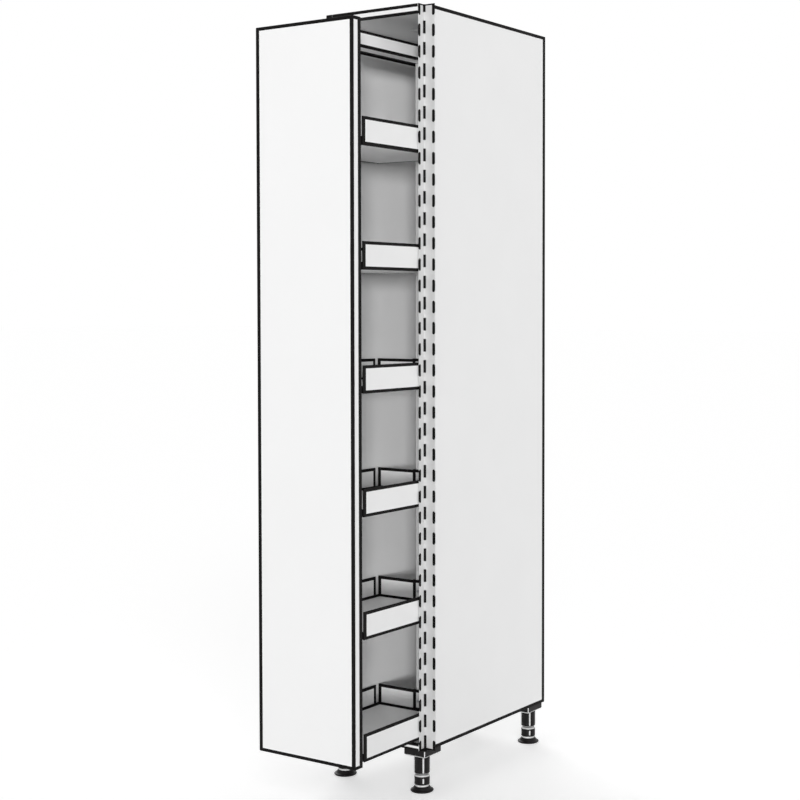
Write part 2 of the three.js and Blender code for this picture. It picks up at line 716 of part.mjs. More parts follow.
// The members that travel half as far as the pull-out.
function middleMembers() {
  const group = new THREE.Group();
  const middlePlace = [0, RUNNER_SETBACK, runnerLevels.middleBase];
  piece(group, "bottom_runner_middle", ZINC_STEEL, middleMember(), middlePlace);
  piece(group, "top_guide_slide", ZINC_STEEL, guideSlide(), [0, guideFront, slideBase]);
  group.position.y = -OPEN_AT_REST * MIDDLE_SHARE;
  return group;
}

// All that travels with the front.
function pullOut() {
  const group = new THREE.Group();
  group.add(front(), frame(), trays());
  const innerPlace = [0, RUNNER_SETBACK, runnerLevels.innerBase];
  piece(group, "bottom_runner_inner", ZINC_STEEL, innerMember(), innerPlace);
  group.position.y = -OPEN_AT_REST;
  return group;
}

// The part's origin: on the floor, under the middle of the whole unit as it stands open.
const cabinet = new THREE.Group();
cabinet.name = "pull_out_larder_unit";
const foremost = -OPEN_AT_REST - FRONT_GAP - FRONT_THICKNESS;
cabinet.position.set(-GRIP_PROUD / 2, -(CARCASS_DEPTH + foremost) / 2, LEG_HEIGHT);
cabinet.add(carcass(), legs(), fixedMembers(), middleMembers(), pullOut());

export default cabinet;
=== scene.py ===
"""Looks of the pull out larder unit, built around its frame. Metres, +Z up, the front faces -Y."""

import json
import math

import bmesh
import bpy
from mathutils import Matrix, Vector

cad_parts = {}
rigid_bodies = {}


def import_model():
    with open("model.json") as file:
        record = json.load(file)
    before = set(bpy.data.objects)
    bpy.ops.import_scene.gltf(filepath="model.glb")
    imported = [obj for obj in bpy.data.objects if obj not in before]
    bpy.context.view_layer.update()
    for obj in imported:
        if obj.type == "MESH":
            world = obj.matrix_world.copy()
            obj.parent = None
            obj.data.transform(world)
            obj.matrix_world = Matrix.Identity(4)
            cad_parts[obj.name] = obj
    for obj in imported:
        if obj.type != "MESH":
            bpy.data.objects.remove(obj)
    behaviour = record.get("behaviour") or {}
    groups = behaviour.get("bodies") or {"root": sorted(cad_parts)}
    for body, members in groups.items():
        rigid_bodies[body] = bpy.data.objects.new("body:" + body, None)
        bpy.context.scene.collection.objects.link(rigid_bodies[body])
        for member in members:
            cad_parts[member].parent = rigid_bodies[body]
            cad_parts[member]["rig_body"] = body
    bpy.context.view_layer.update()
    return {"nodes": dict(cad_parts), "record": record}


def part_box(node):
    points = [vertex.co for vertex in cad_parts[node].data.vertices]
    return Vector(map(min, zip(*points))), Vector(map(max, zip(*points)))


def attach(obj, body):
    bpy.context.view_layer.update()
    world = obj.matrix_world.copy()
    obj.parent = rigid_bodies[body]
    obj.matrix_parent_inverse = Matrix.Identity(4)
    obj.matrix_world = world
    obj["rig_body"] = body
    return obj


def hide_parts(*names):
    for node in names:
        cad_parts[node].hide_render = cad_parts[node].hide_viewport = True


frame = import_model()
nodes = frame["nodes"]
slot_of = {row["node"]: row["material_slot"] for row in frame["record"]["subparts"]}

MM = 0.001
LEFT, RIGHT = Vector((-1, 0, 0)), Vector((1, 0, 0))
FORWARD, BACKWARD = Vector((0, -1, 0)), Vector((0, 1, 0))
DOWN, UP = Vector((0, 0, -1)), Vector((0, 0, 1))

# Dark lines along the edges of the white pieces, and the small radii that take the sharpness off metal
BOARD_LINE = 8 * MM
TRAY_LINE = 7 * MM
BAR_LINE = 6 * MM
BAR_FAR_LINE = 15 * MM  # under the top bar, beside the lip along its left side
UPRIGHT_SHARE = 1.35  # an upright line is this much broader than a level one
LINE_SHARE = 0.3  # of the way across a face, at most
PANEL_REAR_LINE = 13 * MM  # along the rear of a side panel's faces, which the photograph foreshortens
TOP_UPPER_LINE = 7 * MM  # on the top panel's front edge
TOP_LOWER_LINE = 0.8 * MM
TOP_UNDER_LINE = 25 * MM  # under the top panel, along its front, where the photograph looks up at it
FRONT_LINE = 7 * MM
FRONT_LEFT_LINE = 10 * MM  # along the left and the right of the front panel's face
FRONT_RIGHT_LINE = 7.6 * MM
FRONT_CORNER_LINE = 1.5 * MM  # on the front panel's edges, beside its face
FRONT_REAR_LINE = 11.5 * MM  # on the front panel's upright edges, at the rear
HAIRLINE = 0.05 * MM  # the band beside an edge that gets no line
NARROWEST = 5 * MM  # a face under this width is dark as a whole
NEAR = 5 * MM  # a place this close to an end counts as being there
METAL_ARRIS = 0.35 * MM
TUBE_ARRIS = 1.6 * MM
WELD = 0.01 * MM
FLAT_ANGLE = math.radians(1)
CREASE_ANGLE = math.radians(5)
CORNER_ANGLE = math.radians(25)
HARD_ANGLE = math.radians(50)
ALIGNED = 0.9  # cosine from which a direction counts as one of the axes
MOST_CORNERS = 12  # a face with more corners than this is a section's end, and gets no dark line
BUTTED_BOARDS = ("top_panel", "bottom_panel", "back_panel")
SEAL_HEIGHT = 5 * MM  # dark bead around a tray's floor
SEAL_WIDTH = 2.5 * MM

# Grip profile: dashes along its three edges, and a dark band at each end
GRIP_WALL = 1.5 * MM
GRIP_END = 3.5 * MM
DASH_PITCH = 50.8 * MM
DASH_LENGTH = 30.5 * MM
DASH_WIDTH = 7.4 * MM
CORNER_DASH_REACH = 4.8 * MM  # along both walls
CORNER_DASH_SEAT = 0.3 * MM  # into both walls
EDGE_DASH_DROP = 12.5 * MM  # middle of the first dash, below the profile's top
CORNER_DASH_DROP = 3.2 * MM
INLAY_PROUD = 0.2 * MM  # how far a dash, or a leg's slot, stands out of its surface
INLAY_EDGE = 0.1 * MM

# Levelling legs
FLANGE_HEIGHT = 17 * MM
FLANGE_CORNER = 5 * MM
FLANGE_EDGE = 3.2 * MM
CORNER_STEPS = 6
SHAFT_RADIUS = 19 * MM
SHAFT_CHAMFER = 1 * MM
COLLAR_HEIGHT = 2.5 * MM
RIB_WIDTH = 4 * MM
RIB_HEIGHT = 1 * MM
RIB_INSET = 2 * MM
RIB_SEAT = 1 * MM  # how far a rib, a slot or a ring reaches into what carries it
THREAD_RADIUS = 7 * MM
THREAD_PITCH = 2 * MM
THREAD_DEPTH = 0.8 * MM
CREST_START, CREST_END = 0.45, 0.6  # of the thread's pitch
BORE_RADIUS = 7.3 * MM
BORE_SHOWN = 6 * MM
SLEEVE_TOP = 41 * MM
SLEEVE_BOTTOM = 17.2 * MM
SLEEVE_CHAMFER = 3 * MM
NECK_BOTTOM = 12.7 * MM
NECK_RADIUS = 17 * MM
DISC_RADIUS = 28.5 * MM
DISC_RIM = 4 * MM
DISC_CHAMFER = 1.5 * MM
FLARE_FOOT = 22 * MM
FLARE_STEPS = 6
SLOT_LENGTH = 13 * MM
SLOT_WIDTH = 3.8 * MM
SOFT_EDGE = 0.6 * MM
ROUND_SIDES = 64
SMALL_ROUND_SIDES = 32
ROUND_END_STEPS = 6

# Fasteners, caps and buffers
SCREW_RADIUS = 3.6 * MM
SCREW_HEIGHT = 2.2 * MM
SCREW_SIDES = 16
SCREW_HEAD = ((1, 0), (1, 0.35), (0.9, 0.7), (0.7, 1))  # shares of the head's radius and height
SCREW_RECESS = ((0.52, 0.13, 1), (0.4, 0.1, 0.3))  # reach and arm of the cross, and its height, as shares
BRACKET_PLATE = 3 * MM
BRACKET_CHEEK = 13.1 * MM  # from the bracket's middle to a cheek's outer face
PLATE_SCREW_INSET = 12 * MM
CHEEK_SCREW_RADIUS = 4 * MM
CHEEK_SCREW_INSET = 6 * MM
CLIP_SCREW_RISE = 38 * MM  # above the tray's underside
GUIDE_PLATE = 3 * MM
GUIDE_SCREW_OUT = 17 * MM
GUIDE_SCREW_PITCH = 62 * MM
GUIDE_SCREWS = 6
ANGLE_WALL = 3 * MM
ANGLE_SCREW_OUT = 11 * MM
CAP_RADIUS = 8.5 * MM
CAP_HEIGHT = 0.9 * MM
CAP_DIMPLE = 0.3  # of the cap's radius
CAP_INSET_SIDE = 34 * MM
CAP_INSET_FRONT = 120 * MM
CAP_INSET_REAR = 60 * MM
BUFFER_RIM = 0.3  # of the buffer's thickness
BUFFER_STEPS = 5  # from the rim of the dome to its crown

# The photograph's camera: it looks to the left of +Y, slightly down
CAMERA_PLACE = (2.232, -3.087, 1.187)
CAMERA_TURN = math.radians(33.43)
CAMERA_TILT = math.radians(-2.09)
CAMERA_LENS = 67.78
CAMERA_SHIFT = (-0.0953, -0.05)
SENSOR_WIDTH = 36

# Light
WORLD_LEVEL = 0.34
FLOOR_TONE = 0.86
FLOOR_LIFT = 0.42  # the camera sees the floor this much brighter, so that it meets the white behind
FLOOR_REACH = 60  # metres to each side

# Noise: the range that most of it lies in, how finely it is broken up, and how strongly it dents a surface
NOISE_LOW, NOISE_HIGH = 0.3, 0.7
CLOUD_DETAIL = 4.0
GRAIN_DETAIL = 3.0
BUMP_STRENGTH = 0.6


# ---------------------------------------------------------------- finishes


def make_node(tree, kind, inputs, **settings):
    """A shader node. Each input is a plain value or the socket that feeds it."""
    made = tree.nodes.new(kind)
    for name, value in settings.items():
        setattr(made, name, value)
    for name, value in inputs.items():
        if isinstance(value, bpy.types.NodeSocket):
            tree.links.new(value, made.inputs[name])
        else:
            made.inputs[name].default_value = value
    return made


def noise(tree, size, detail):
    """Noise whose blotches measure size in millimetres along x, y and z."""
    place = make_node(tree, "ShaderNodeTexCoord", {}).outputs["Object"]
    scale = [1 / (side * MM) for side in size]
    scaled = make_node(tree, "ShaderNodeMapping", {"Vector": place, "Scale": scale}).outputs["Vector"]
    inputs = {"Vector": scaled, "Scale": 1.0, "Detail": detail}
    return make_node(tree, "ShaderNodeTexNoise", inputs).outputs[0]


def ramp(tree, factor, low, high):
    """A colour that runs from low to high with the factor."""
    made = make_node(tree, "ShaderNodeValToRGB", {"Fac": factor})
    first, last = made.color_ramp.elements
    first.position, first.color = NOISE_LOW, (*low, 1)
    last.position, last.color = NOISE_HIGH, (*high, 1)
    return made.outputs["Color"]


def spread(tree, factor, low, high):
    """A number that runs from low to high with the factor."""
    inputs = {"Value": factor, "From Min": NOISE_LOW, "From Max": NOISE_HIGH, "To Min": low, "To Max": high}
    return make_node(tree, "ShaderNodeMapRange", inputs).outputs["Result"]


def finish(name, tones, cloud, roughness, grain, relief, metallic=0.0, gloss=0.5):
    """A material: tones vary in clouds, and roughness and relief vary with the grain. Clouds and grain are
    sized, and relief is given, in millimetres."""
    made = bpy.data.materials.new(name)
    made.use_nodes = True
    tree = made.node_tree
    shader = tree.nodes["Principled BSDF"]
    shader.inputs["Metallic"].default_value = metallic
    shader.inputs["Specular IOR Level"].default_value = gloss
    clouds = noise(tree, cloud, CLOUD_DETAIL)
    grains = noise(tree, grain, GRAIN_DETAIL)
    tree.links.new(ramp(tree, clouds, *tones), shader.inputs["Base Color"])
    tree.links.new(spread(tree, grains, *roughness), shader.inputs["Roughness"])
    bump_inputs = {"Height": grains, "Distance": relief * MM, "Strength": BUMP_STRENGTH}
    bump = make_node(tree, "ShaderNodeBump", bump_inputs)
    tree.links.new(bump.outputs["Normal"], shader.inputs["Normal"])
    return made


def even(low, high):
    """Two neutral tones."""
    return (low,) * 3, (high,) * 3


def sized(size):
    """The same size along x, y and z."""
    return (size,) * 3


FINISHES = {
    "white_board": finish(
        "white_melamine",
        tones=even(0.875, 0.89), cloud=sized(160), roughness=(0.36, 0.5), grain=sized(1.1), relief=0.05,
    ),
    "white_lacquer": finish(
        "white_silk_lacquer",
        tones=even(0.885, 0.9), cloud=sized(260), roughness=(0.36, 0.46), grain=sized(3.2), relief=0.03,
        gloss=0.35,
    ),
    "white_powder_coat": finish(
        "white_powder_coat",
        tones=even(0.86, 0.885), cloud=sized(90), roughness=(0.4, 0.55), grain=sized(0.6), relief=0.05,
    ),
    "grey_aluminium": finish(
        "satin_aluminium",
        tones=even(0.63, 0.67), cloud=(0.6, 0.6, 90), roughness=(0.42, 0.56), grain=(0.25, 0.25, 40),
        relief=0.02, metallic=0.25,
    ),
    "zinc_steel": finish(
        "zinc_plated_steel",
        tones=((0.5, 0.52, 0.55), (0.64, 0.66, 0.68)), cloud=sized(9), roughness=(0.26, 0.44),
        grain=(0.4, 30, 0.4), relief=0.02, metallic=1.0,
    ),
    "black_plastic": finish(
        "black_moulded_plastic",
        tones=((0.006, 0.0055, 0.0055), (0.011, 0.0095, 0.01)), cloud=sized(25), roughness=(0.3, 0.46),
        grain=sized(0.5), relief=0.06, gloss=0.14,
    ),
    "soft_rubber": finish(
        "clear_rubber",
        tones=even(0.62, 0.72), cloud=sized(4), roughness=(0.3, 0.5), grain=sized(0.8), relief=0.03,
    ),
}
DARK_TONES = ((0.005, 0.0046, 0.0046), (0.009, 0.0084, 0.0084))
DARK_EDGE = finish(
    "dark_laminate_core",
    tones=DARK_TONES, cloud=sized(40), roughness=(0.5, 0.65), grain=sized(0.8), relief=0.04, gloss=0.06,
)
DARK_TRIM = finish(
    "dark_edge_coat",
    tones=DARK_TONES, cloud=sized(30), roughness=(0.45, 0.6), grain=sized(0.5), relief=0.03, gloss=0.06,
)
# Pale grey: the fitting caps' own colour, and on the legs a painted highlight along crests, chamfers, rings,
# ribs and slots.
CAP_GREY_AND_PAINTED_HIGHLIGHT = finish(
    "cap_grey_and_painted_highlight",
    tones=even(0.6, 0.78), cloud=sized(6), roughness=(0.25, 0.4), grain=sized(0.6), relief=0.03,
)
# Black plastic, with the pale grey painted highlight as its second finish.
BLACK_AND_PAINTED_HIGHLIGHT = (FINISHES["black_plastic"], CAP_GREY_AND_PAINTED_HIGHLIGHT)


# ---------------------------------------------------------------- meshes


def add_piece(name, shape, body, slot, finishes, replaces=()):
    """Makes a named piece of a mesh, which rides on a body and may stand for CAD nodes."""
    bmesh.ops.recalc_face_normals(shape, faces=shape.faces)
    for edge in shape.edges:
        edge.smooth = edge.calc_face_angle(0.0) < HARD_ANGLE
    for face in shape.faces:
        face.smooth = True
    mesh = bpy.data.meshes.new(name)
    shape.to_mesh(mesh)
    shape.free()
    for material in finishes:
        mesh.materials.append(material)
    piece = bpy.data.objects.new(name, mesh)
    bpy.context.scene.collection.objects.link(piece)
    normals = piece.modifiers.new("even_normals", "WEIGHTED_NORMAL")
    normals.keep_sharp = True
    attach(piece, body)
    if replaces:
        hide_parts(*replaces)


def paint(faces, material):
    """Gives faces the piece's first material, 0, or its second, 1."""
    for face in faces:
        face.material_index = material


def width_of(face):
    """Width of a long face, from its area and its longest edge."""
    return face.calc_area() / max(edge.calc_length() for edge in face.edges)


def points_outwards(edge):
    """Whether an edge is a corner of the body that points outwards."""
    return edge.calc_face_angle(0.0) > CREASE_ANGLE and edge.is_convex


def bare_shape(node):
    """A node's own mesh, with its flat faces whole."""
    shape = bmesh.new()
    shape.from_mesh(nodes[node].data)
    bmesh.ops.remove_doubles(shape, verts=shape.verts, dist=WELD)
    bmesh.ops.dissolve_limit(shape, angle_limit=FLAT_ANGLE, verts=shape.verts, edges=shape.edges)
    return shape


def ease(shape, arris):
    """Rounds every corner of a body a little."""
    corners = [edge for edge in shape.edges if edge.calc_face_angle(0.0) > CORNER_ANGLE]
    bmesh.ops.bevel(
        shape, geom=corners, offset=arris, segments=2, profile=0.5, affect="EDGES", clamp_overlap=True
    )


def span_across(face, edge):
    """How far a face reaches from one of its edges."""
    start, end = (vertex.co for vertex in edge.verts)
    inwards = face.normal.cross(end - start).normalized()
    return max(abs((vertex.co - start).dot(inwards)) for vertex in face.verts)


def middle_of(edge):
    return (edge.verts[0].co + edge.verts[1].co) / 2


def is_upright(edge):
    start, end = (vertex.co for vertex in edge.verts)
    return abs((end - start).normalized().z) > ALIGNED


def line_width(face, edge, line):
    """The usual width of the line beside an edge."""
    return min(line * (UPRIGHT_SHARE if is_upright(edge) else 1), LINE_SHARE * span_across(face, edge))


def split_off_bands(shape, face, bands):
    """Splits a face into a middle and bands along its edges, given as widths and whether they are dark."""
    corners = [loop.vert for loop in face.loops]
    widths, dark = zip(*bands)
    normal = face.normal.copy()
    ways = [(after.co - before.co).normalized() for before, after in zip(corners, corners[1:] + corners[:1])]
    inner = []
    for i, corner in enumerate(corners):
        turn = ways[i - 1].cross(ways[i]).dot(normal)
        if abs(turn) < math.sin(FLAT_ANGLE):
            step = normal.cross(ways[i]) * widths[i]
        else:
            step = (ways[i] * widths[i - 1] - ways[i - 1] * widths[i]) / turn
        inner.append(shape.verts.new(corner.co + step))
    shape.faces.remove(face)
    shape.faces.new(inner).normal_update()
    for i in range(len(corners)):
        band = shape.faces.new((corners[i - 1], corners[i], inner[i], inner[i - 1]))
        band.normal_update()
        band.material_index = int(dark[i - 1])


def no_own_line(face, edge):
    """For pieces whose lines all have the usual width."""
    return None


def line_edges(shape, line, own):
    """Draws a dark line on both sides of each edge that points outwards. own may give a width of its own."""
    for face in [face for face in shape.faces if len(face.verts) <= MOST_CORNERS]:
        if width_of(face) < NARROWEST:
            face.material_index = int(any(points_outwards(edge) for edge in face.edges))
            continue
        bands = []
        for loop in face.loops:
            width = own(face, loop.edge)
            if width is None and points_outwards(loop.edge):
                width = line_width(face, loop.edge, line)
            bands.append((HAIRLINE, False) if width is None else (width, True))
        split_off_bands(shape, face, bands)


def ends_of(shape):
    """Where a board's left and right ends start."""
    places = [vertex.co.x for vertex in shape.verts]
    return min(places) + NEAR, max(places) - NEAR


def line_butted_board(shape, own):
    """Lines a board whose left and right ends butt against boards with lines of their own."""
    left, right = ends_of(shape)

    def width(face, edge):
        return own(face, edge) if left < middle_of(edge).x < right else HAIRLINE

    line_edges(shape, BOARD_LINE, width)
    paint([face for face in shape.faces if not left < face.calc_center_median().x < right], 0)


def top_panel_line(face, edge):
    """Widths of the lines on the top panel's front edge. The lower one lies mostly under the panel."""
    place = middle_of(edge)
    if face.normal.y < -ALIGNED:
        return TOP_UPPER_LINE if place.z > face.calc_center_median().z else TOP_LOWER_LINE
    under = face.normal.z < -ALIGNED and place.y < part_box("top_panel")[0].y + NEAR
    return TOP_UNDER_LINE if under else None


def side_panel_line(face, edge):
    """Width of the line along the rear of a side panel's faces."""
    rear = max(vertex.co.y for vertex in face.verts) - NEAR
    beside = abs(face.normal.x) > ALIGNED and middle_of(edge).y > rear
    return PANEL_REAR_LINE if beside else None


def top_bar_line(face, edge):
    """Width of the line under the top bar, beside the lip along its left side."""
    left = face.calc_center_median().x - NEAR
    beside = face.normal.z < -ALIGNED and middle_of(edge).x < left
    return BAR_FAR_LINE if beside else None


def front_line(face, edge):
    """Widths of the front panel's upright lines, and of the slim ones where its edges meet its face."""
    low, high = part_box("front_panel")
    place = middle_of(edge)
    if abs(face.normal.y) < ALIGNED and place.y < low.y + NEAR:
        return FRONT_CORNER_LINE
    if not is_upright(edge):
        return None
    if abs(face.normal.y) < ALIGNED:
        return FRONT_REAR_LINE
    return FRONT_LEFT_LINE if place.x < (low.x + high.x) / 2 else FRONT_RIGHT_LINE


def dress(node, shape, dark=DARK_EDGE):
    """Puts a shape in a node's place, in the node's finish, with dark as its second one."""
    slot = slot_of[node]
    add_piece(f"{node}_detail", shape, nodes[node]["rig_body"], slot, [FINISHES[slot], dark], [node])


def aimed(place, facing, top=UP):
    """A frame whose +Z points along facing and whose +Y points towards top."""
    ahead = facing.normalized()
    side = top.cross(ahead).normalized()
    turn = Matrix((side, ahead.cross(side), ahead)).transposed()
    return Matrix.Translation(place) @ turn.to_4x4()


def lofted(shape, rings, at=Matrix.Identity(4), material=0):
    """Adds a closed body that runs through rings with as many points each, and returns its bands."""
    loops = [[shape.verts.new(at @ Vector(point)) for point in ring] for ring in rings]
    paint([shape.faces.new(loops[0][::-1]), shape.faces.new(loops[-1])], material)
    bands = []
    for lower, upper in zip(loops, loops[1:]):
        corners = range(len(lower))
        bands.append([shape.faces.new((lower[i - 1], lower[i], upper[i], upper[i - 1])) for i in corners])
        paint(bands[-1], material)
    return bands


def circle(radius, height, sides=ROUND_SIDES):
    """The outline of a round, at a height."""
    angles = [2 * math.pi * i / sides for i in range(sides)]
    return [(radius * math.cos(angle), radius * math.sin(angle), height) for angle in angles]


def turned(shape, profile, at, sides=ROUND_SIDES, material=0):
    """Adds a body of radii and heights, turned about the frame's +Z."""
    return lofted(shape, [circle(radius, height, sides) for radius, height in profile], at, material)


def capsule(length, width, height):
    """The outline of a bar with round ends, its length along y."""
    radius = width / 2
    reach = length / 2 - radius
    points = []
    for end, start in ((1, 0.0), (-1, math.pi)):
        for i in range(ROUND_END_STEPS + 1):
            angle = start + math.pi * i / ROUND_END_STEPS
            points.append((radius * math.cos(angle), end * reach + radius * math.sin(angle), height))
    return points


def inlay(shape, at, length, width, low, high, edge=INLAY_EDGE, material=0):
    """Adds a bar with round ends, from low to high along the frame's +Z."""
    small = (length - 2 * edge, width - 2 * edge)
    rings = [
        capsule(*small, low),
        capsule(length, width, low + edge),
        capsule(length, width, high - edge),
        capsule(*small, high),
    ]
    lofted(shape, rings, at, material)


def cross(reach, arm, height):
    """The outline of a cross, with four points in each quarter."""
    points = []
    for quarter in range(4):
        turn = Matrix.Rotation(quarter * math.pi / 2, 3, "Z")
        for x, y in ((reach, 0), (reach, arm), (arm, arm), (arm, reach)):
            points.append(turn @ Vector((x, y, height)))
    return points


def screw(shape, place, facing, radius=SCREW_RADIUS, height=SCREW_HEIGHT, top=UP):
    """Adds a pan head with a cross recess, seated at a place."""
    rings = [circle(out * radius, rise * height, SCREW_SIDES) for out, rise in SCREW_HEAD]
    rings += [cross(reach * radius, arm * radius, rise * height) for reach, arm, rise in SCREW_RECESS]
    lofted(shape, rings, aimed(place, facing, top))


# ---------------------------------------------------------------- boards, trays and metal


OWN_LINES = {
    "front_panel": (FRONT_LINE, front_line),
    "left_side_panel": (BOARD_LINE, side_panel_line),
    "right_side_panel": (BOARD_LINE, side_panel_line),
    "top_panel": (BOARD_LINE, top_panel_line),
    "top_bar": (BAR_LINE, top_bar_line),
}


def boards_and_trays():
    """Boards, the front and the trays keep their shapes, with dark lines along their edges."""
    for node in nodes:
        slot = slot_of[node]
        tray = node.startswith("tray_")
        line, own = OWN_LINES.get(node, (TRAY_LINE if tray else BOARD_LINE, no_own_line))
        if slot in ("white_board", "white_lacquer"):
            shape = bare_shape(node)
            if node in BUTTED_BOARDS:
                line_butted_board(shape, own)
            else:
                line_edges(shape, line, own)
            dress(node, shape)
        elif slot == "white_powder_coat" and (tray or node == "top_bar"):
            shape = bare_shape(node)
            ease(shape, METAL_ARRIS)
            line_edges(shape, line, own)
            dress(node, shape, DARK_TRIM)


def floor_seals():
    """A dark bead around each tray's floor, where it meets the walls."""
    shape = bmesh.new()
    section = [
        (0, 0),
        (0, SEAL_HEIGHT),
        (SEAL_WIDTH / 2, SEAL_HEIGHT),
        (SEAL_WIDTH, SEAL_HEIGHT / 2),
        (SEAL_WIDTH, 0),
    ]
    for node in nodes:
        if node.startswith("tray_") and node.endswith("_base"):
            low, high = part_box(node)
            rings = []
            for x, y in ((low.x, low.y), (high.x, low.y), (high.x, high.y), (low.x, high.y)):
                inwards = Vector((math.copysign(1, -x), 1 if y == low.y else -1, 0))
                corner = Vector((x, y, high.z))
                points = [corner + inwards * across + UP * rise for across, rise in section]
                rings.append([shape.verts.new(point) for point in points])
            for before, after in zip(rings, rings[1:] + rings[:1]):
                for i in range(len(section)):
                    shape.faces.new((before[i - 1], before[i], after[i], after[i - 1]))
    add_piece("tray_floor_seals", shape, "pullout", "black_plastic", [DARK_EDGE])


def frame_and_runners():
    """Tubes with rounded corners, and sheet metal with broken edges."""
    for node in ("front_upright", "rear_upright", "bottom_beam"):
        shape = bare_shape(node)
        ease(shape, TUBE_ARRIS if node.endswith("upright") else METAL_ARRIS)
        dress(node, shape)
    for node in nodes:
        if slot_of[node] == "zinc_steel" or node == "top_guide_rail":
            shape = bare_shape(node)
            ease(shape, METAL_ARRIS)
            dress(node, shape)


def grip_profile():
    """The grey profile, with a dark band across each of its ends."""
    low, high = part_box("grip_profile")
    shape = bare_shape("grip_profile")
    ease(shape, METAL_ARRIS)
    for height in (low.z + GRIP_END, high.z - GRIP_END):
        everything = [*shape.verts, *shape.edges, *shape.faces]
        bmesh.ops.bisect_plane(shape, geom=everything, plane_co=(0, 0, height), plane_no=UP)
    ends = [
        face
        for face in shape.faces
        if not low.z + GRIP_END < face.calc_center_median().z < high.z - GRIP_END
    ]
    paint(ends, 1)
    dress("grip_profile", shape, DARK_TRIM)


def dash_ends(drop):
    """Heights of both ends of each dash in a column, whose first one has its middle a drop below the top."""
    low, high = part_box("grip_profile")
    middle = high.z - drop
    while middle > low.z:
        yield max(middle - DASH_LENGTH / 2, low.z), min(middle + DASH_LENGTH / 2, high.z)
        middle -= DASH_PITCH


def corner_dash(shape, corner, bottom, top):
    """Adds a three-sided bar that fills the profile's inner corner."""
    seat, end = CORNER_DASH_SEAT, SOFT_EDGE
    rings = []
    for height, inset in ((bottom, end), (bottom + end, 0), (top - end, 0), (top, end)):
        reach = CORNER_DASH_REACH - inset
        points = ((-seat, seat, height), (-seat, -reach, height), (reach, seat, height))
        rings.append([corner + Vector(point) for point in points])
    lofted(shape, rings)


def grip_dashes():
    """Short dark inlays along the front edge, the inner corner and the outer edge of the grip profile."""
    low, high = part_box("grip_profile")
    shape = bmesh.new()
    half = DASH_WIDTH / 2
    front = Vector((low.x, low.y + half - INLAY_PROUD, 0))
    outer = Vector((high.x - half, high.y, 0))
    for place, facing in ((front, RIGHT), (outer, FORWARD)):
        for bottom, top in dash_ends(EDGE_DASH_DROP):
            at = aimed(place + UP * (bottom + top) / 2, facing)
            inlay(shape, at, top - bottom, DASH_WIDTH, -INLAY_PROUD, GRIP_WALL + INLAY_PROUD)
    corner = Vector((low.x + GRIP_WALL, high.y - GRIP_WALL, 0))
    for bottom, top in dash_ends(CORNER_DASH_DROP):
        corner_dash(shape, corner, bottom, top)
    add_piece("grip_profile_dashes", shape, "carcass", "black_plastic", [DARK_EDGE])


# ---------------------------------------------------------------- legs


def rounded_plate(xs, ys, corner, height):
    """The outline of a plate with rounded corners, at a height."""
    points = []
    places = [(xs[1], ys[1]), (xs[0], ys[1]), (xs[0], ys[0]), (xs[1], ys[0])]
    for quarter, (x, y) in enumerate(places):
        middle_x = x - math.copysign(corner, x - sum(xs) / 2)
        middle_y = y - math.copysign(corner, y - sum(ys) / 2)
        for i in range(CORNER_STEPS + 1):
            angle = (quarter + i / CORNER_STEPS) * math.pi / 2
            points.append((middle_x + corner * math.cos(angle), middle_y + corner * math.sin(angle), height))
    return points


def diagonals():
    """The four directions between the leg's sides."""
    for quarter in range(4):
        angle = math.pi / 4 + quarter * math.pi / 2
        yield Vector((math.cos(angle), math.sin(angle), 0))


def leg_housing(node, axis):
    """The flange under the carcass, its collar, the shaft and its four ribs, with painted highlights in pale
    grey.
    """
    low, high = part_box(node)
    shape = bmesh.new()
    edge = FLANGE_EDGE
    foot = high.z - FLANGE_HEIGHT
    xs, ys = (low.x, high.x), (low.y, high.y)
    narrow_xs, narrow_ys = (low.x + edge, high.x - edge), (low.y + edge, high.y - edge)
    rings = [
        rounded_plate(narrow_xs, narrow_ys, FLANGE_CORNER - edge, foot),
        rounded_plate(xs, ys, FLANGE_CORNER, foot + edge),
        rounded_plate(xs, ys, FLANGE_CORNER, high.z),
    ]
    rim, wall = lofted(shape, rings)
    # painted highlight along the flange's lower chamfer
    paint(rim, 1)
    middle = CORNER_STEPS // 2  # a painted highlight down the middle of each rounded corner
    paint([face for i, face in enumerate(wall) if i % (CORNER_STEPS + 1) in (middle, middle + 1)], 1)
    shaft = [
        (BORE_RADIUS, low.z + BORE_SHOWN),
        (BORE_RADIUS, low.z),
        (SHAFT_RADIUS - SHAFT_CHAMFER, low.z),
        (SHAFT_RADIUS, low.z + SHAFT_CHAMFER),
        (SHAFT_RADIUS, foot - COLLAR_HEIGHT),
        (SHAFT_RADIUS + COLLAR_HEIGHT, foot),
        (SHAFT_RADIUS + COLLAR_HEIGHT, foot + edge),
    ]
    chamfer = turned(shape, shaft, Matrix.Translation((axis.x, axis.y, 0)))[2]
    # painted highlight on the shaft's lower chamfer
    paint(chamfer, 1)
    bottom, top = low.z + RIB_INSET, foot - COLLAR_HEIGHT
    for out in diagonals():
        seat = Vector((axis.x, axis.y, (bottom + top) / 2)) + out * (SHAFT_RADIUS - RIB_SEAT)
        # each rib is pale grey all over, a painted highlight
        inlay(shape, aimed(seat, out), top - bottom, RIB_WIDTH, 0, RIB_SEAT + RIB_HEIGHT, SOFT_EDGE, 1)
    add_piece(f"{node}_detail", shape, "carcass", "black_plastic", BLACK_AND_PAINTED_HIGHLIGHT, [node])


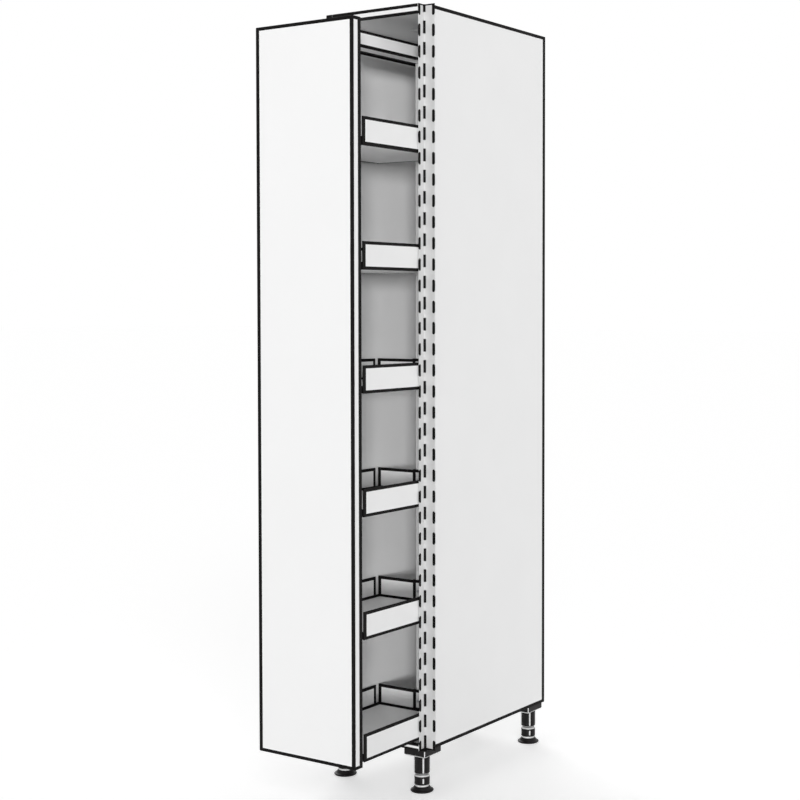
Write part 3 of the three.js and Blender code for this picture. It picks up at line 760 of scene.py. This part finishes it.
def flare():
    """Radii and heights of the disc and of the hollow flare that rises from it."""
    rim = DISC_RADIUS - SOFT_EDGE
    profile = [
        (DISC_RADIUS - DISC_CHAMFER, 0),
        (DISC_RADIUS, DISC_CHAMFER),
        (DISC_RADIUS, DISC_RIM - SOFT_EDGE),
        (rim, DISC_RIM),
    ]
    for i in range(1, FLARE_STEPS + 1):
        share = i / FLARE_STEPS
        radius = FLARE_FOOT + (rim - FLARE_FOOT) * (1 - share) ** 2
        profile.append((radius, DISC_RIM + (NECK_BOTTOM - DISC_RIM) / 2 * share))
    profile += [
        (SHAFT_RADIUS, NECK_BOTTOM - SOFT_EDGE),
        (SHAFT_RADIUS - SOFT_EDGE, NECK_BOTTOM),
        (NECK_RADIUS - RIB_SEAT, NECK_BOTTOM),
    ]
    return profile


def leg_foot(node, axis):
    """The disc, the flare and the sleeve, with painted highlights as pale grey rings and slots, and the
    threaded spindle.
    """
    low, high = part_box(node)
    body = nodes[node]["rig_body"]
    base = Matrix.Translation((axis.x, axis.y, low.z))
    shape = bmesh.new()
    turned(shape, flare(), base)
    sleeve = [
        (NECK_RADIUS - RIB_SEAT, SLEEVE_BOTTOM),
        (SHAFT_RADIUS - SOFT_EDGE, SLEEVE_BOTTOM),
        (SHAFT_RADIUS, SLEEVE_BOTTOM + SOFT_EDGE),
        (SHAFT_RADIUS, SLEEVE_TOP - SLEEVE_CHAMFER),
        (SHAFT_RADIUS - SLEEVE_CHAMFER, SLEEVE_TOP),
        (THREAD_RADIUS, SLEEVE_TOP),
    ]
    chamfer, top = turned(shape, sleeve, base)[-2:]
    # painted highlight on the sleeve's top chamfer and top face
    paint(chamfer + top, 1)
    ring = [
        (NECK_RADIUS - RIB_SEAT, NECK_BOTTOM - SOFT_EDGE),
        (NECK_RADIUS, NECK_BOTTOM),
        (NECK_RADIUS, SLEEVE_BOTTOM),
        (NECK_RADIUS - RIB_SEAT, SLEEVE_BOTTOM + SOFT_EDGE),
    ]
    # the ring in the neck is pale grey, a painted highlight
    turned(shape, ring, base, material=1)
    middle = low.z + (SLEEVE_BOTTOM + SLEEVE_TOP - SLEEVE_CHAMFER) / 2
    for out in diagonals():
        seat = Vector((axis.x, axis.y, middle)) + out * (SHAFT_RADIUS - RIB_SEAT)
        # pale grey slots, painted highlights
        inlay(shape, aimed(seat, out), SLOT_LENGTH, SLOT_WIDTH, 0, RIB_SEAT + INLAY_PROUD, material=1)
    add_piece(f"{node}_detail", shape, body, "black_plastic", BLACK_AND_PAINTED_HIGHLIGHT, [node])
    spindle = bmesh.new()
    root = THREAD_RADIUS - THREAD_DEPTH
    profile = [(root, SLEEVE_TOP - SOFT_EDGE)]
    for i in range(int((high.z - low.z - SLEEVE_TOP) / THREAD_PITCH)):
        start = SLEEVE_TOP + i * THREAD_PITCH
        profile += [
            (root, start),
            (THREAD_RADIUS, start + CREST_START * THREAD_PITCH),
            (THREAD_RADIUS, start + CREST_END * THREAD_PITCH),
        ]
    profile.append((root, high.z - low.z))
    turned(spindle, profile, base, sides=SMALL_ROUND_SIDES)
    add_piece(f"{node}_spindle", spindle, body, "zinc_steel", [FINISHES["zinc_steel"]])


def legs():
    """The four levelling legs, each a housing on the carcass and a foot that slides in it."""
    for row in ("front", "rear"):
        for hand in ("left", "right"):
            low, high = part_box(f"leg_{row}_{hand}_foot")
            axis = (low + high) / 2
            leg_housing(f"leg_{row}_{hand}_housing", axis)
            leg_foot(f"leg_{row}_{hand}_foot", axis)


# ---------------------------------------------------------------- fasteners, caps and buffers


def bracket_screws():
    """Four screws through each bracket's plate, and one through each cheek into the upright."""
    shape = bmesh.new()
    for place in ("lower", "middle", "upper"):
        low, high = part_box(f"front_bracket_{place}")
        middle = (low + high) / 2
        for x in (low.x + PLATE_SCREW_INSET, high.x - PLATE_SCREW_INSET):
            for z in (low.z + PLATE_SCREW_INSET, high.z - PLATE_SCREW_INSET):
                screw(shape, Vector((x, low.y + BRACKET_PLATE, z)), BACKWARD)
        for side in (LEFT, RIGHT):
            cheek = Vector((middle.x, high.y - CHEEK_SCREW_INSET, middle.z)) + side * BRACKET_CHEEK
            screw(shape, cheek, side, CHEEK_SCREW_RADIUS)
    add_piece("front_bracket_screws", shape, "pullout", "zinc_steel", [FINISHES["zinc_steel"]])


def tray_screws():
    """One screw through each hanger clip into the upright behind it."""
    shape = bmesh.new()
    for node in nodes:
        if node.startswith("tray_") and node.endswith("_base"):
            tray = node.removesuffix("_base")
            front_low, front_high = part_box(f"{tray}_front_wall")
            rear_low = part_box(f"{tray}_rear_wall")[0]
            x = (front_low.x + front_high.x) / 2
            z = front_low.z + CLIP_SCREW_RISE
            screw(shape, Vector((x, front_high.y, z)), BACKWARD)
            screw(shape, Vector((x, rear_low.y, z)), FORWARD)
    add_piece("tray_clip_screws", shape, "pullout", "zinc_steel", [FINISHES["zinc_steel"]])


def carcass_screws():
    """Screws through the top guide's plate and the wall fixing angle, into the top panel."""
    shape = bmesh.new()
    low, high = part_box("top_guide_rail")
    middle = (low + high) / 2
    for i in range(GUIDE_SCREWS):
        y = middle.y + (i - (GUIDE_SCREWS - 1) / 2) * GUIDE_SCREW_PITCH
        side = GUIDE_SCREW_OUT if i % 2 else -GUIDE_SCREW_OUT
        place = Vector((middle.x + side, y, high.z - GUIDE_PLATE))
        screw(shape, place, DOWN, top=FORWARD)
    low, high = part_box("wall_fixing_angle")
    middle = (low + high) / 2
    for side in (-ANGLE_SCREW_OUT, ANGLE_SCREW_OUT):
        place = Vector((middle.x + side, middle.y - ANGLE_WALL, high.z - ANGLE_WALL))
        screw(shape, place, DOWN, top=FORWARD)
    add_piece("carcass_screws", shape, "carcass", "zinc_steel", [FINISHES["zinc_steel"]])


def fitting_caps():
    """White caps over the cam fittings, in the top panel's upper face and the bottom panel's lower one."""
    shape = bmesh.new()
    profile = [
        (CAP_RADIUS, -CAP_HEIGHT),
        (CAP_RADIUS, 0),
        (CAP_RADIUS - SOFT_EDGE, 0),
        (CAP_RADIUS - SOFT_EDGE, -SOFT_EDGE / 2),
        (CAP_DIMPLE * CAP_RADIUS, -SOFT_EDGE / 2),
    ]
    for node, facing in (("top_panel", UP), ("bottom_panel", DOWN)):
        low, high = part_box(node)
        height = high.z if facing is UP else low.z
        for x in (low.x + CAP_INSET_SIDE, high.x - CAP_INSET_SIDE):
            for y in (low.y + CAP_INSET_FRONT, high.y - CAP_INSET_REAR):
                at = aimed(Vector((x, y, height)), facing, FORWARD)
                turned(shape, profile, at, sides=SMALL_ROUND_SIDES)
    add_piece("fitting_caps", shape, "carcass", "white_board", [CAP_GREY_AND_PAINTED_HIGHLIGHT])


def buffers():
    """Soft domes that the closed front rests on."""
    for place in ("lower", "upper"):
        node = f"front_buffer_{place}"
        low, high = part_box(node)
        middle = (low + high) / 2
        thickness = high.y - low.y
        radius = (high.x - low.x) / 2
        rim = BUFFER_RIM * thickness
        profile = [(radius, 0), (radius, rim)]
        for i in range(1, BUFFER_STEPS):
            angle = i * math.pi / (2 * BUFFER_STEPS)
            profile.append((radius * math.cos(angle), rim + (thickness - rim) * math.sin(angle)))
        shape = bmesh.new()
        at = aimed(Vector((middle.x, low.y, middle.z)), BACKWARD)
        turned(shape, profile, at, sides=SMALL_ROUND_SIDES)
        add_piece(f"{node}_detail", shape, "pullout", "soft_rubber", [FINISHES["soft_rubber"]], [node])


# ---------------------------------------------------------------- stage


def shown_rays(tree):
    """1 for what the camera sees, straight or in metal and glass, and 0 for what lights the unit."""
    rays = make_node(tree, "ShaderNodeLightPath", {}).outputs
    inputs = {0: rays["Is Camera Ray"], 1: rays["Is Glossy Ray"]}
    straight = make_node(tree, "ShaderNodeMath", inputs, operation="MAXIMUM")
    inputs = {0: straight.outputs[0], 1: rays["Is Transmission Ray"]}
    return make_node(tree, "ShaderNodeMath", inputs, operation="MAXIMUM").outputs[0]


def floor():
    """A wide pale floor that reads as white, apart from the unit's shadow."""
    mesh = bpy.data.meshes.new("floor")
    reach = FLOOR_REACH
    corners = [(-reach, -reach, 0), (reach, -reach, 0), (reach, reach, 0), (-reach, reach, 0)]
    mesh.from_pydata(corners, [], [(0, 1, 2, 3)])
    made = bpy.data.materials.new("pale_floor")
    made.use_nodes = True
    tree = made.node_tree
    tree.nodes.remove(tree.nodes["Principled BSDF"])
    tone = (FLOOR_TONE, FLOOR_TONE, FLOOR_TONE, 1)
    diffuse = make_node(tree, "ShaderNodeBsdfDiffuse", {"Color": tone})
    lift = make_node(tree, "ShaderNodeMath", {0: shown_rays(tree), 1: FLOOR_LIFT}, operation="MULTIPLY")
    glow = make_node(tree, "ShaderNodeEmission", {"Strength": lift.outputs[0]})
    both = make_node(tree, "ShaderNodeAddShader", {0: diffuse.outputs[0], 1: glow.outputs[0]})
    tree.links.new(both.outputs[0], tree.nodes["Material Output"].inputs["Surface"])
    mesh.materials.append(made)
    plane = bpy.data.objects.new("floor", mesh)
    bpy.context.scene.collection.objects.link(plane)


def world():
    """White behind the unit and in its reflections, and a softer white as light."""
    made = bpy.data.worlds.new("studio")
    made.use_nodes = True
    tree = made.node_tree
    inputs = {"Value": shown_rays(tree), "To Min": WORLD_LEVEL, "To Max": 1.0}
    strength = make_node(tree, "ShaderNodeMapRange", inputs)
    background = tree.nodes["Background"]
    background.inputs["Color"].default_value = (1, 1, 1, 1)
    tree.links.new(strength.outputs["Result"], background.inputs["Strength"])
    bpy.context.scene.world = made


def soft_light(name, turn, rise, spread_angle, level):
    """A broad distant light. turn is counted from the front to the right, and rise up from the horizon, in
    degrees; level is what it adds to a white face turned towards it."""
    light = bpy.data.lights.new(name, "SUN")
    light.angle = math.radians(spread_angle)
    light.energy = math.pi * level
    lamp = bpy.data.objects.new(name, light)
    turn, rise = math.radians(turn), math.radians(rise)
    towards = Vector((math.sin(turn) * math.cos(rise), -math.cos(turn) * math.cos(rise), math.sin(rise)))
    lamp.rotation_euler = towards.to_track_quat("Z", "Y").to_euler()
    bpy.context.scene.collection.objects.link(lamp)


def camera():
    """The camera at the photograph's place."""
    lens = bpy.data.cameras.new("camera")
    lens.lens = CAMERA_LENS
    lens.sensor_width = SENSOR_WIDTH
    lens.shift_x, lens.shift_y = CAMERA_SHIFT
    made = bpy.data.objects.new("camera", lens)
    made.location = CAMERA_PLACE
    made.rotation_euler = (math.pi / 2 + CAMERA_TILT, 0, CAMERA_TURN)
    bpy.context.scene.collection.objects.link(made)
    bpy.context.scene.camera = made


camera()
world()
floor()
soft_light("fill", turn=37, rise=2.5, spread_angle=9, level=0.62)
soft_light("key", turn=42, rise=32, spread_angle=25, level=0.18)
soft_light("rim", turn=-130, rise=35, spread_angle=40, level=0.36)
boards_and_trays()
floor_seals()
frame_and_runners()
grip_profile()
grip_dashes()
legs()
bracket_screws()
tray_screws()
carcass_screws()
fitting_caps()
buffers()
bpy.context.scene.view_settings.view_transform = "Standard"
